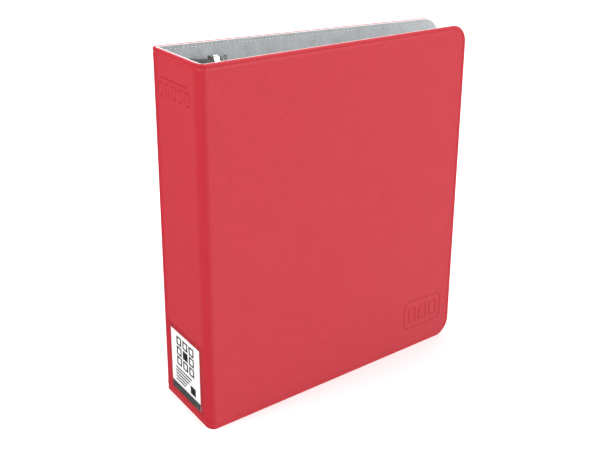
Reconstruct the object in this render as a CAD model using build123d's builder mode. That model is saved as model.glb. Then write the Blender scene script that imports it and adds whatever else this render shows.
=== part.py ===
from build123d import *

import os
from math import atan2, cos, degrees, hypot, radians, sin, tan

# A ring binder for trading card pages, standing on its bottom edges: a padded spine and two padded
# covers joined by leather folds, with a three-ring D mechanism riveted to the back cover.
# The origin is on the floor under the middle. +X runs from the spine to the fore-edges,
# -Y is the front cover's side and +Z is up. Millimetres and degrees.

# Outside sizes
height = 318.0
cover_width = 300.0
spine_width = 90.0
front_lean = 8.0  # how far the front cover leans in from square

# Layers of every panel, as depths below its outer face
skin_thickness = 0.7
padding_bottom = 1.5
board_bottom = 3.2
turn_in_bottom = 3.5
wall = 4.0
turn_in = 9.0  # width of skin folded onto the board's inside
lining_inset = 1.0  # lining's distance from a free edge
board_inset = 0.9
corner_radius = 17.0
edge_softness = 1.1

# Folds between the spine and the covers
fold_radius = 6.0
fold_end_gap = 0.4  # the fold strips are this much shorter than the panels at each end

# Thread
stitch_inset = 3.7
thread_width = 0.6
thread_depth = 0.4
thread_sink = 0.05

# Label on the spine, as places in the spine panel's own x and y
recess_width, recess_height, recess_depth = 66.0, 67.0, 0.8
recess_x, recess_y, recess_radius = -0.85, -118.5, 2.3
card_width, card_height, card_thickness = 55.5, 59.5, 0.3
card_x, card_y, card_radius = -2.0, -120.0, 0.5
window_width, window_height, window_thickness, window_radius = 62.0, 64.0, 0.2, 1.5

# Debossed plain frames: one on the front cover's lower corner, one near the spine's top
deboss_depth = 0.25
deboss_line = 1.6
front_deboss = (260.0, -124.0, 52.0, 33.0, 7.0)  # x, y, width, height, corner radius
spine_deboss = (-4.0, 128.0, 60.0, 13.0, 3.0)

# Ring mechanism: x from its middle, h from the back lining towards the front, s from mid-height
mechanism_x = -100.0
ring_pitch = 108.0
plate_half_length = 146.0
plate_half_width = 18.5
plate_height = 11.0
plate_sheet = 1.0
plate_foot = 0.6
rim_reach = 15.3  # how far in the plate's curled rims come
rim_sheet = 1.0
notch_inner, notch_length = 6.4, 6.2
blade_pivot_x, blade_pivot_h = 14.2, 3.2
blade_inner_x, blade_inner_h = 0.2, 2.3
blade_sheet = 1.2
blade_half_length = 134.5
wire_diameter = 4.2
tenon_diameter = 3.0
foot_x, foot_h = 9.5, 3.7
foot_bend = 4.0
left_leg_h, right_leg_h = 8.0, 7.0  # where the wire turns outwards above its foot
ring_top = 57.5
post_x, post_shoulder_h, shoulder_bend, post_bend = 16.5, 15.0, 8.0, 8.0
bulge_x, bulge_h, bulge_foot_bend, bulge_bend = -26.0, 16.0, 14.0, 26.0
tip_x, tip_gap = 8.0, 0.1
tip_pin_diameter, tip_pin_length = 1.4, 1.2
tip_socket_diameter, tip_socket_depth = 2.2, 1.6

# Rivets that hold the plate
rivet_s = 123.0
rivet_diameter = 4.5
rivet_head_diameter, rivet_head_height = 9.5, 0.9
rivet_crown_diameter, rivet_crown_height = 7.5, 1.1
rivet_crown_roundness = 0.8  # as a share of the crown's height
washer_diameter, washer_thickness = 10.0, 0.8
rivet_notch_radius = 3.3

# Levers at both ends of the plate
lever_s, lever_h = 139.0, 4.0
lever_pin_diameter = 2.4
lever_pin_proud = 0.3  # past the ears
lever_bore_diameter = 2.5
barrel_diameter, barrel_half_width = 5.2, 5.6
ear_inner_x, ear_sheet, ear_half_length = 6.0, 1.0, 3.2
ear_bottom_h, ear_top_h = 1.7, 9.3
tongue_tip_s, tongue_top_h, tongue_bottom_h, tongue_half_width = 130.5, 1.4, 0.4, 3.0
tab_sheet, tab_half_width = 1.3, 2.3
tab_path = ((lever_s, lever_h), (148.0, 4.7), (149.0, 15.3), (143.3, 18.8))
tab_bends = (2.2, 2.4)
web_outer, web_inner = 2.0, 2.4  # the web joins the tongue to the barrel from this far to each side

half_spine = spine_width / 2
half_cover = cover_width / 2
mid_height = height / 2
lean_x, lean_y = cos(radians(front_lean)), sin(radians(front_lean))
ring_places = (-ring_pitch, 0.0, ring_pitch)

# Distance from a fold's sharp corner to where its round part ends
front_fold = fold_radius / tan(radians(90 - front_lean) / 2)
back_fold = fold_radius

# The round front fold stops short of its sharp corner, and the origin is under the true middle
overall_depth = spine_width - (front_fold - fold_radius)
back_face_y = overall_depth / 2
front_corner_y = back_face_y - spine_width
back_lining_y = back_face_y - wall

# Panel planes lie on the outer faces, with x away from the fold, or towards the front on the spine
front_plane = Plane(
    (-half_cover, front_corner_y, mid_height), x_dir=(lean_x, lean_y, 0), z_dir=(lean_y, -lean_x, 0)
)
back_plane = Plane((-half_cover, back_face_y, mid_height), x_dir=(1, 0, 0), z_dir=(0, 1, 0))
spine_plane = Plane((-half_cover, back_face_y - half_spine, mid_height), x_dir=(0, -1, 0), z_dir=(-1, 0, 0))

covers = {"front": (front_plane, front_fold), "back": (back_plane, back_fold)}
spine_back_x, spine_front_x = back_fold - half_spine, half_spine - front_fold
spine_middle_x, spine_flat = (spine_back_x + spine_front_x) / 2, spine_front_x - spine_back_x
thread_outer, thread_inner = stitch_inset - thread_width / 2, stitch_inset + thread_width / 2


def cover_outline(start, inset):
    """A cover's outline from its fold to the fore-edge, its three free edges drawn in by inset."""
    with BuildSketch() as outline:
        with Locations((start, 0)):
            Rectangle(cover_width - inset - start, height - 2 * inset, align=(Align.MIN, Align.CENTER))
        fillet(outline.vertices().sort_by(Axis.X)[-2:], corner_radius - inset)
    return outline.sketch


def cover_layer(plane, start, top, bottom, inset, mode=Mode.ADD, hollow=None):
    """One layer of a cover between two depths; with hollow, only the band between the two insets."""
    with BuildSketch(plane.offset(-top)) as layer:
        add(cover_outline(start, inset))
        if hollow is not None:
            add(cover_outline(start, hollow), mode=Mode.SUBTRACT)
    extrude(layer.sketch, amount=top - bottom, mode=mode)


def spine_layer(top, bottom, inset, mode=Mode.ADD, end_gap=0.0):
    """One layer of the spine between two depths, its top and bottom edges drawn in by inset."""
    with BuildSketch(spine_plane.offset(-top)) as layer:
        with Locations((spine_middle_x, 0)):
            Rectangle(spine_flat - 2 * end_gap, height - 2 * inset)
    extrude(layer.sketch, amount=top - bottom, mode=mode)


def spine_thread(top, bottom, mode=Mode.ADD):
    """The straight threads along the spine's top and bottom edges, between two depths."""
    row = mid_height - stitch_inset
    with BuildSketch(spine_plane.offset(-top)) as threads:
        with Locations((spine_middle_x, -row), (spine_middle_x, row)):
            Rectangle(spine_flat, thread_width)
    extrude(threads.sketch, amount=top - bottom, mode=mode)


def pad(plane, x, y, width, length, top, bottom, radius, mode=Mode.ADD):
    """A rounded rectangle of a panel between two depths."""
    with BuildSketch(plane.offset(-top)) as shape:
        with Locations((x, y)):
            RectangleRounded(width, length, radius)
    extrude(shape.sketch, amount=top - bottom, mode=mode)


def deboss(plane, x, y, width, length, radius):
    """Presses a plain line frame into a skin."""
    with BuildSketch(plane) as line_frame:
        with Locations((x, y)):
            RectangleRounded(width, length, radius)
            inner = (width - 2 * deboss_line, length - 2 * deboss_line)
            RectangleRounded(*inner, radius - deboss_line, mode=Mode.SUBTRACT)
    extrude(line_frame.sketch, amount=-deboss_depth, mode=Mode.SUBTRACT)


def soften(part, plane, first_x, last_x):
    """Rounds the outer face's free edges, which lie between two places along the plane's x."""
    outer = part.faces().sort_by(Axis(plane.origin, plane.z_dir))[-1]
    free = [e for e in outer.edges() if first_x < plane.to_local_coords(e.center()).X < last_x]
    fillet(free, edge_softness)


def rivet_holes(top, bottom, diameter):
    """Cuts the back cover's two rivet holes between two depths."""
    with BuildSketch(back_plane.offset(-top)) as holes:
        with Locations(*[(mechanism_x + half_cover, s) for s in (-rivet_s, rivet_s)]):
            Circle(diameter / 2)
    extrude(holes.sketch, amount=top - bottom, mode=Mode.SUBTRACT)


def save(part, name):
    part.label = name
    export_step(part, f"parts/{name}.step")


os.makedirs("parts", exist_ok=True)

# ---------------------------------------------------------------- covers
for side, (plane, fold) in covers.items():
    # skin: outer sheet, wrapped edges and the turn-in, stopping at the fold
    with BuildPart() as skin:
        cover_layer(plane, fold, 0, turn_in_bottom, 0)
        soften(skin.part, plane, fold + 1, cover_width + 1)
        cover_layer(plane, fold, skin_thickness, board_bottom, skin_thickness, Mode.SUBTRACT)
        cover_layer(plane, fold, board_bottom, turn_in_bottom, turn_in, Mode.SUBTRACT)
        cover_layer(plane, fold, 0, thread_depth, thread_outer, Mode.SUBTRACT, thread_inner)
        if side == "front":
            deboss(plane, *front_deboss)
        else:
            rivet_holes(0, turn_in_bottom, rivet_diameter)
            rivet_holes(0, rivet_head_height, rivet_head_diameter)
    save(skin.part, f"{side}_skin")

    with BuildPart() as padding:
        cover_layer(plane, fold, skin_thickness, padding_bottom, board_inset)
        if side == "back":
            rivet_holes(skin_thickness, padding_bottom, rivet_diameter)
            rivet_holes(0, rivet_head_height, rivet_head_diameter)
    save(padding.part, f"{side}_padding")

    with BuildPart() as board:
        cover_layer(plane, fold + board_inset, padding_bottom, board_bottom, board_inset)
        if side == "back":
            rivet_holes(padding_bottom, board_bottom, rivet_diameter)
    save(board.part, f"{side}_board")

    # lining: full sheet, and the thickness that fills the space inside the turn-in
    with BuildPart() as lining:
        cover_layer(plane, fold, turn_in_bottom, wall, lining_inset)
        cover_layer(plane, fold, board_bottom, turn_in_bottom, turn_in)
        cover_layer(plane, fold, wall - thread_depth, wall, thread_outer, Mode.SUBTRACT, thread_inner)
        if side == "back":
            rivet_holes(board_bottom, wall, rivet_diameter)
    save(lining.part, f"{side}_lining")

    # stitching: one thread in the skin's groove and one in the lining's
    with BuildPart() as stitching:
        for top, bottom in ((thread_sink, thread_depth), (wall - thread_depth, wall - thread_sink)):
            cover_layer(plane, fold, top, bottom, thread_outer, hollow=thread_inner)
    save(stitching.part, f"{side}_stitching")

# ---------------------------------------------------------------- spine
with BuildPart() as spine_skin:
    spine_layer(0, turn_in_bottom, 0)
    soften(spine_skin.part, spine_plane, spine_middle_x - 1, spine_middle_x + 1)
    spine_layer(skin_thickness, board_bottom, skin_thickness, Mode.SUBTRACT)
    spine_layer(board_bottom, turn_in_bottom, turn_in, Mode.SUBTRACT)
    # the label's recess: its walls and floor are the same sheet, pressed in
    recess = (spine_plane, recess_x, recess_y)
    around = (recess_width + 2 * skin_thickness, recess_height + 2 * skin_thickness)
    around_radius = recess_radius + skin_thickness
    pad(*recess, *around, skin_thickness, recess_depth + skin_thickness, around_radius)
    pad(*recess, recess_width, recess_height, 0, recess_depth, recess_radius, Mode.SUBTRACT)
    spine_thread(0, thread_depth, Mode.SUBTRACT)
    deboss(spine_plane, *spine_deboss)
save(spine_skin.part, "spine_skin")

with BuildPart() as spine_padding:
    spine_layer(skin_thickness, padding_bottom, board_inset)
    pad(*recess, *around, skin_thickness, padding_bottom, around_radius, Mode.SUBTRACT)
save(spine_padding.part, "spine_padding")

with BuildPart() as spine_board:
    spine_layer(padding_bottom, board_bottom, board_inset, end_gap=board_inset)
save(spine_board.part, "spine_board")

with BuildPart() as spine_lining:
    spine_layer(turn_in_bottom, wall, lining_inset)
    spine_layer(board_bottom, turn_in_bottom, turn_in)
    spine_thread(wall - thread_depth, wall, Mode.SUBTRACT)
save(spine_lining.part, "spine_lining")

with BuildPart() as spine_stitching:
    spine_thread(thread_sink, thread_depth)
    spine_thread(wall - thread_depth, wall - thread_sink)
save(spine_stitching.part, "spine_stitching")

card_top = recess_depth - card_thickness
with BuildPart() as label_card:
    pad(spine_plane, card_x, card_y, card_width, card_height, card_top, recess_depth, card_radius)
save(label_card.part, "label_card")

with BuildPart() as label_window:
    pad(*recess, window_width, window_height, card_top - window_thickness, card_top, window_radius)
save(label_window.part, "label_window")

# ---------------------------------------------------------------- folds
# Each fold's layers are arcs about one centre, from the spine panel's end to the cover's end.
front_centre = (-half_cover + fold_radius, front_corner_y + front_fold)
back_centre = (-half_cover + fold_radius, back_face_y - back_fold)
folds = {"front": (front_centre, 90 + front_lean), "back": (back_centre, -90)}
fold_layers = {
    "skin": (0, skin_thickness),
    "padding": (skin_thickness, turn_in_bottom),
    "lining": (turn_in_bottom, wall),
}
for side, (centre, swing) in folds.items():
    for layer, (top, bottom) in fold_layers.items():
        with BuildPart() as strip:
            with BuildSketch(Plane.XY.offset(fold_end_gap)):
                with BuildLine():
                    outer = CenterArc(centre, fold_radius - top, 180, swing)
                    inner = CenterArc(centre, fold_radius - bottom, 180, swing)
                    Line(outer @ 0, inner @ 0)
                    Line(outer @ 1, inner @ 1)
                make_face()
            extrude(amount=height - 2 * fold_end_gap)
        save(strip.part, f"{side}_fold_{layer}")

# ---------------------------------------------------------------- ring mechanism
def section_plane(s):
    """Across the mechanism: x is x from its middle and y is h, looking down."""
    return Plane((mechanism_x, back_lining_y, mid_height + s), x_dir=(1, 0, 0), z_dir=(0, 0, -1))


def lever_plane(end):
    """Along the mechanism: x is the distance from mid-height towards one end, and y is h."""
    return Plane((mechanism_x, back_lining_y, mid_height), x_dir=(0, 0, end), z_dir=(end, 0, 0))


def base_plane(h):
    """The plane at h above the back lining, with x from the mechanism's middle and y from mid-height."""
    return Plane((mechanism_x, back_lining_y - h, mid_height), x_dir=(1, 0, 0), z_dir=(0, -1, 0))


arch_rise = plate_height - plate_foot
arch_radius = (plate_half_width**2 + arch_rise**2) / (2 * arch_rise)
arch_centre_h = plate_height - arch_radius
rim_top = plate_foot + rim_sheet
inner_radius = arch_radius - plate_sheet
inner_foot_x = (inner_radius**2 - (rim_top - arch_centre_h) ** 2) ** 0.5

with BuildPart() as cover_plate:
    with BuildSketch(section_plane(plate_half_length)):
        with BuildLine():
            ThreePointArc((-plate_half_width, plate_foot), (0, plate_height), (plate_half_width, plate_foot))
            for side in (-1, 1):
                Polyline(
                    (side * plate_half_width, plate_foot),
                    (side * rim_reach, plate_foot),
                    (side * rim_reach, rim_top),
                    (side * inner_foot_x, rim_top),
                )
            ThreePointArc((-inner_foot_x, rim_top), (0, plate_height - plate_sheet), (inner_foot_x, rim_top))
        make_face()
    extrude(amount=2 * plate_half_length)
    # slots that the rings swing in
    notch_width = plate_half_width + 1 - notch_inner
    with BuildSketch(base_plane(rim_top + 0.1)):
        for side in (-1, 1):
            with Locations(*[(side * (notch_inner + notch_width / 2), s) for s in ring_places]):
                Rectangle(notch_width, notch_length)
    extrude(amount=plate_height, mode=Mode.SUBTRACT)
    # ears for the lever pins, under both ends
    for end in (-1, 1):
        for side in (-1, 1):
            with BuildSketch(lever_plane(end).offset(end * side * (ear_inner_x + ear_sheet / 2))):
                with Locations((lever_s, (ear_bottom_h + ear_top_h) / 2)):
                    Rectangle(2 * ear_half_length, ear_top_h - ear_bottom_h)
                with Locations((lever_s, lever_h)):
                    Circle(lever_pin_diameter / 2, mode=Mode.SUBTRACT)
            extrude(amount=ear_sheet / 2, both=True)
    with BuildSketch(base_plane(plate_height - 2 * plate_sheet)):
        with Locations((0, -rivet_s), (0, rivet_s)):
            Circle(rivet_diameter / 2)
    extrude(amount=3 * plate_sheet, mode=Mode.SUBTRACT)
save(cover_plate.part, "cover_plate")

# rivets: flush head outside, shank through the cover, and a crown on the plate
outer_face_h = -wall
with BuildPart() as mounting_rivets:
    for s in (-rivet_s, rivet_s):
        stack = (
            (outer_face_h, rivet_head_height, rivet_head_diameter),
            (outer_face_h, wall + plate_height, rivet_diameter),
            (plate_height, rivet_crown_height, rivet_crown_diameter),
        )
        for bottom, length, diameter in stack:
            with BuildSketch(base_plane(bottom)):
                with Locations((0, s)):
                    Circle(diameter / 2)
            extrude(amount=length)
    crowns = mounting_rivets.faces().sort_by(Axis.Y)[:2]
    fillet(crowns.edges(), rivet_crown_height * rivet_crown_roundness)
save(mounting_rivets.part, "mounting_rivets")

with BuildPart() as rivet_washers:
    with BuildSketch(base_plane(0)):
        with Locations((0, -rivet_s), (0, rivet_s)):
            Circle(washer_diameter / 2)
            Circle(rivet_diameter / 2, mode=Mode.SUBTRACT)
    extrude(amount=washer_thickness)
save(rivet_washers.part, "rivet_washers")

with BuildPart() as lever_pins:
    for end in (-1, 1):
        with BuildSketch(lever_plane(end)):
            with Locations((lever_s, lever_h)):
                Circle(lever_pin_diameter / 2)
        extrude(amount=ear_inner_x + ear_sheet + lever_pin_proud, both=True)
save(lever_pins.part, "lever_pins")

# ---------------------------------------------------------------- blades and rings
blade_run = hypot(blade_pivot_x - blade_inner_x, blade_pivot_h - blade_inner_h)
blade_slope = degrees(atan2(blade_pivot_h - blade_inner_h, blade_pivot_x - blade_inner_x))
ring_names = ("bottom", "middle", "top")
wire_paths = {
    "left": (
        [
            (-foot_x, foot_h),
            (-foot_x, left_leg_h),
            (bulge_x, bulge_h),
            (bulge_x, ring_top),
            (tip_x - tip_gap / 2, ring_top),
        ],
        [foot_bend, bulge_foot_bend, bulge_bend],
    ),
    "right": (
        [
            (foot_x, foot_h),
            (foot_x, right_leg_h),
            (post_x, post_shoulder_h),
            (post_x, ring_top),
            (tip_x + tip_gap / 2, ring_top),
        ],
        [foot_bend, shoulder_bend, post_bend],
    ),
}

for side, sign in (("left", -1), ("right", 1)):
    with BuildPart() as blade:
        with BuildSketch(section_plane(blade_half_length)):
            middle = (sign * (blade_pivot_x + blade_inner_x) / 2, (blade_pivot_h + blade_inner_h) / 2)
            with Locations(middle):
                Rectangle(blade_run, blade_sheet, rotation=sign * blade_slope)
            with Locations((sign * blade_pivot_x, blade_pivot_h)):
                Circle(blade_sheet / 2)
        extrude(amount=2 * blade_half_length)
        with BuildSketch(base_plane(0)):
            with Locations((0, -rivet_s), (0, rivet_s)):
                Circle(rivet_notch_radius)
            with Locations(*[(sign * foot_x, s) for s in ring_places]):
                Circle(tenon_diameter / 2)
        extrude(amount=plate_height, mode=Mode.SUBTRACT)
    save(blade.part, f"{side}_blade")

    points, bends = wire_paths[side]
    for name, s in zip(ring_names, ring_places):
        with BuildPart() as half_ring:
            with BuildLine(section_plane(s)):
                FilletPolyline(*points, radius=bends)
            with BuildSketch(base_plane(foot_h)):
                with Locations((sign * foot_x, s)):
                    Circle(wire_diameter / 2)
            sweep()
            # tenon through the blade
            with BuildSketch(base_plane(blade_inner_h - blade_sheet / 2)):
                with Locations((sign * foot_x, s)):
                    Circle(tenon_diameter / 2)
            extrude(amount=foot_h - blade_inner_h + blade_sheet / 2)
            # a pin on the left tip fits a socket in the right tip
            tip_end_x = mechanism_x + tip_x + sign * tip_gap / 2
            tip_plane = Plane((tip_end_x, back_lining_y - ring_top, mid_height + s), z_dir=(1, 0, 0))
            if side == "left":
                with BuildSketch(tip_plane):
                    Circle(tip_pin_diameter / 2)
                extrude(amount=tip_pin_length)
            else:
                with BuildSketch(tip_plane):
                    Circle(tip_socket_diameter / 2)
                extrude(amount=tip_socket_depth, mode=Mode.SUBTRACT)
        save(half_ring.part, f"{side}_half_ring_{name}")

# ---------------------------------------------------------------- levers
for name, end in (("bottom_lever", -1), ("top_lever", 1)):
    with BuildPart() as lever:
        with BuildSketch(lever_plane(end)):
            with BuildLine():
                FilletPolyline(*tab_path, radius=list(tab_bends))
            trace(line_width=tab_sheet)
        extrude(amount=tab_half_width, both=True)
        # tongue under the blades, and the web that joins it to the barrel
        with BuildSketch(lever_plane(end)):
            with BuildLine():
                Polyline(
                    (tongue_tip_s, tongue_bottom_h),
                    (lever_s + web_outer / 2, tongue_bottom_h),
                    (lever_s + web_outer, lever_h),
                    (lever_s - web_outer, lever_h),
                    (lever_s - web_inner, tongue_top_h),
                    (tongue_tip_s, tongue_top_h),
                    close=True,
                )
            make_face()
        extrude(amount=tongue_half_width, both=True)
        with BuildSketch(lever_plane(end)):
            with Locations((lever_s, lever_h)):
                Circle(barrel_diameter / 2)
        extrude(amount=barrel_half_width, both=True)
        with BuildSketch(lever_plane(end)):
            with Locations((lever_s, lever_h)):
                Circle(lever_bore_diameter / 2)
        extrude(amount=barrel_half_width, both=True, mode=Mode.SUBTRACT)
    save(lever.part, name)
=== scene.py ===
from math import ceil, cos, pi, radians, sin

import bmesh
import bpy
import numpy as np
from mathutils import Matrix, Vector


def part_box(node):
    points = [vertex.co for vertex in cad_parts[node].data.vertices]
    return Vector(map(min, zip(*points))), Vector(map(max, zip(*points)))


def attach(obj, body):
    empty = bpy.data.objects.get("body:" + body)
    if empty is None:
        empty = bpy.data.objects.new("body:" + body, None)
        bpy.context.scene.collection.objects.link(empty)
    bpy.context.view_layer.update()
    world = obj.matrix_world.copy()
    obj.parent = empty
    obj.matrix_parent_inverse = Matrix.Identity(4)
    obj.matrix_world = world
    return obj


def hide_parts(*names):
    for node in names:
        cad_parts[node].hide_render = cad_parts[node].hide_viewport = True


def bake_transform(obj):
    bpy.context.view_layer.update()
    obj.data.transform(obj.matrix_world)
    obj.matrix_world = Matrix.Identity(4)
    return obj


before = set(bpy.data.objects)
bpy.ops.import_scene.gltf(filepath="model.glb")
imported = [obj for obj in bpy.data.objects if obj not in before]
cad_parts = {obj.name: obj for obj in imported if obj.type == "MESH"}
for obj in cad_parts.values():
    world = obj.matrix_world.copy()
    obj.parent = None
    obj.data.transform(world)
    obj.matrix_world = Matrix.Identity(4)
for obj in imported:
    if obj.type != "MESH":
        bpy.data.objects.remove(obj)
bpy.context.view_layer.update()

# ---------------------------------------------------------------- sizes, in millimetres
MM = 0.001
SPINE_WIDTH = 90.0
FRONT_LEAN = radians(8.0)
CORNER_RADIUS = 17.0
SKIN_BOTTOM = 2.95  # the leather wraps this much thickness
WALL = 4.0
LINING_INSET = 0.3
STITCH_INSET = 3.7
STITCH_PITCH = 3.75
STITCH_LENGTH = 3.0
EDGE_ROLL = 1.6  # how far in from an edge the leather starts to turn over it
SPINE_REACH, COVER_REACH = 10.0, 7.0  # how far a fold's leather that bends runs from the sharp corner
FOLD_BENDS = {"front": (10.0, 7.0), "back": (6.0, 5.0)}  # where each fold's round part ends, likewise
FOLD_FULLNESS = 0.72
FACE_DEPTH = 0.27  # the padded face lies this far below the sharpest part of its edge
VALLEY_DEPTH, VALLEY_WIDTH = 0.5, 0.75  # the valley that the stitches pull into the leather
SWELL_HEIGHT, SWELL_OFFSET, SWELL_WIDTH = 0.26, 2.6, 1.7  # the padding's swell, just inside the valley
LINING_VALLEY_DEPTH, LINING_VALLEY_WIDTH = 0.18, 0.8
LINING_ROLL = 0.18
LINING_TOP = SKIN_BOTTOM + 0.03  # the lining's hidden face lies just clear of the leather
EDGE_SQUARENESS, LINING_SQUARENESS = 0.7, 0.8  # below 1 an edge is squarer than a half round
RECESS_EDGE = 0.5  # half the width of a pressed edge
RECESS_FLOOR = 0.8
RECESS_RADIUS = 2.3
RIM_HEIGHT, RIM_OFFSET, RIM_WIDTH = 0.12, 1.3, 0.8  # the slight rim that pressing leaves round the recess
RIM_SHADE_WIDTH = 1.6
THREAD_HALF_WIDTH, THREAD_HALF_HEIGHT = 0.3, 0.24
THREAD_LEAN = radians(4)  # lockstitches lie slightly across the seam
OUTER_THREAD_RISE, INNER_THREAD_RISE = 0.16, 0.14  # how far a stitch's middle lies out of its valley
FILM_THICKNESS, FILM_ROLL = 0.14, 0.12


def box_mm(node):
    """A CAD node's lowest and highest corner, in millimetres."""
    return tuple(np.array(c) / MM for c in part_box(node))


spine_low, spine_high = box_mm("spine_skin")
back_high = box_mm("back_skin")[1]
card_low, card_high = box_mm("label_card")
film_low, film_high = box_mm("label_window")

SPINE_X = spine_low[0]
BACK_Y = back_high[1]
FRONT_Y = BACK_Y - SPINE_WIDTH
HEIGHT = spine_high[2]
HALF_HEIGHT = HEIGHT / 2
COVER_WIDTH = back_high[0] - SPINE_X

label_y, label_z = (film_low[1] + film_high[1]) / 2, (film_low[2] + film_high[2]) / 2
card_y, card_z = (card_low[1] + card_high[1]) / 2, (card_low[2] + card_high[2]) / 2
RECESS_HALF = (33.0, 33.5)

# Plain pressed marks: a row of card outlines, as the row's centre across and up, a card's half width and half
# height, the pitch and the number of cards
FRONT_MARK = (260.0, 35.0, 5.2, 8.0, 14.5, 3)
SPINE_MARK = (3.5, 286.0, 4.3, 5.6, 12.4, 5)
MARK_LINE = 1.3
MARK_DEPTH = 0.55
MARK_RADIUS = 1.6
# a frame round the front's row of cards: half width, half height and corner radius
FRONT_FRAME = (26.0, 15.0, 7.0)
# a line over the spine's row of cards: half length and height above its middle
SPINE_RULE = (24.0, 9.5)
RULE_HALF_THICKNESS, RULE_RADIUS = 0.7, 0.6


# ---------------------------------------------------------------- helpers
def smooth(low, high, x):
    """0 up to low, 1 from high on and a smooth ramp between, whichever of them is larger."""
    t = np.clip((x - low) / (high - low), 0, 1)
    return t * t * (3 - 2 * t)


def rounded_distance(x, y, half_x, half_y, radius):
    """Distance outside a rounded rectangle at the origin, negative inside."""
    ax, ay = np.abs(x) - (half_x - radius), np.abs(y) - (half_y - radius)
    outside = np.hypot(np.maximum(ax, 0), np.maximum(ay, 0))
    return outside + np.minimum(np.maximum(ax, ay), 0) - radius


def bell(x, middle, width):
    """A smooth bump, 1 at its middle."""
    return np.exp(-(((x - middle) / width) ** 2))


def pressed_line(away, width):
    """Depth of a line pressed just inside an outline, from the distance outside it."""
    return MARK_DEPTH * np.exp(-(((away + width / 2) / (0.6 * width)) ** 4))


def mark_depth(x, y, mark):
    """Depth of a row of pressed card outlines."""
    cx, cy, half_x, half_y, pitch, count = mark
    depth = 0 * x
    for k in range(count):
        away = rounded_distance(x - cx - (k - (count - 1) / 2) * pitch, y - cy, half_x, half_y, MARK_RADIUS)
        depth = np.maximum(depth, pressed_line(away, MARK_LINE))
    return depth


def seam_depth(d):
    """The leather's depth by distance from a free edge: a stitched valley, then a swell of padding."""
    valley = VALLEY_DEPTH * bell(d, STITCH_INSET, VALLEY_WIDTH)
    swell = SWELL_HEIGHT * bell(d, STITCH_INSET + SWELL_OFFSET, SWELL_WIDTH)
    return FACE_DEPTH * smooth(0, STITCH_INSET, d) + valley - swell


def lining_depth(d):
    """How far the lining's face is pressed in, by distance from a free edge."""
    return LINING_VALLEY_DEPTH * bell(d, STITCH_INSET, LINING_VALLEY_WIDTH)


def grid_lines(low, high, step, fine):
    """Places from low to high about step apart, and closer in each fine stretch (start, end, step)."""
    marks = [low, high]
    for start, end, small in fine:
        start, end = max(low, start), min(high, end)
        marks += list(np.linspace(start, end, max(2, int(ceil((end - start) / small)) + 1)))
    marks = sorted(set(np.round(marks, 4)))
    lines = [marks[0]]
    for mark in marks[1:]:
        gap = mark - lines[-1]
        if gap < 0.05:
            continue
        lines += list(np.linspace(lines[-1], mark, max(1, int(ceil(gap / step))) + 1)[1:])
    return np.array(lines)


SEAM_REACH, SEAM_STEP = 6, 0.45  # how far from a free edge the seam's shape runs, and the grid's step there


def edge_stretches(low, high):
    """Where a grid is fine along two opposite free edges."""
    return [
        (low, low + SEAM_REACH, SEAM_STEP), (low + SEAM_REACH, low + SEAM_REACH + 10, 2.0),
        (high - SEAM_REACH, high, SEAM_STEP), (high - SEAM_REACH - 10, high - SEAM_REACH, 2.0),
    ]


def new_object(name, verts, faces, materials, slots=None, smooth_angle=50):
    """A closed mesh from points in millimetres, facing outwards and shaded smooth except at sharp edges."""
    mesh = bpy.data.meshes.new(name)
    mesh.from_pydata((np.asarray(verts) * MM).tolist(), [], [list(map(int, f)) for f in faces])
    shape = bmesh.new()
    shape.from_mesh(mesh)
    inside_out = shape.calc_volume(signed=True) < 0
    shape.free()
    if inside_out:
        mesh.flip_normals()
    for material in materials:
        mesh.materials.append(material)
    if slots is not None:
        mesh.polygons.foreach_set("material_index", np.asarray(slots, np.int32))
    mesh.polygons.foreach_set("use_smooth", np.ones(len(mesh.polygons), bool))
    mesh.set_sharp_from_angle(angle=radians(smooth_angle))
    mesh.update()
    obj = bpy.data.objects.new(name, mesh)
    bpy.context.scene.collection.objects.link(obj)
    return obj


def add_uv(obj, uv):
    """Unrolled coordinates in millimetres, one pair per vertex."""
    layer = obj.data.uv_layers.new(name="Unrolled")
    index = np.zeros(len(obj.data.loops), np.int32)
    obj.data.loops.foreach_get("vertex_index", index)
    layer.data.foreach_set("uv", np.asarray(uv, np.float32)[index].ravel())


def add_value(obj, name, values):
    """A number for each vertex, read by materials."""
    attribute = obj.data.attributes.new(name, "FLOAT", "POINT")
    attribute.data.foreach_set("value", np.asarray(values, np.float32))


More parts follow.
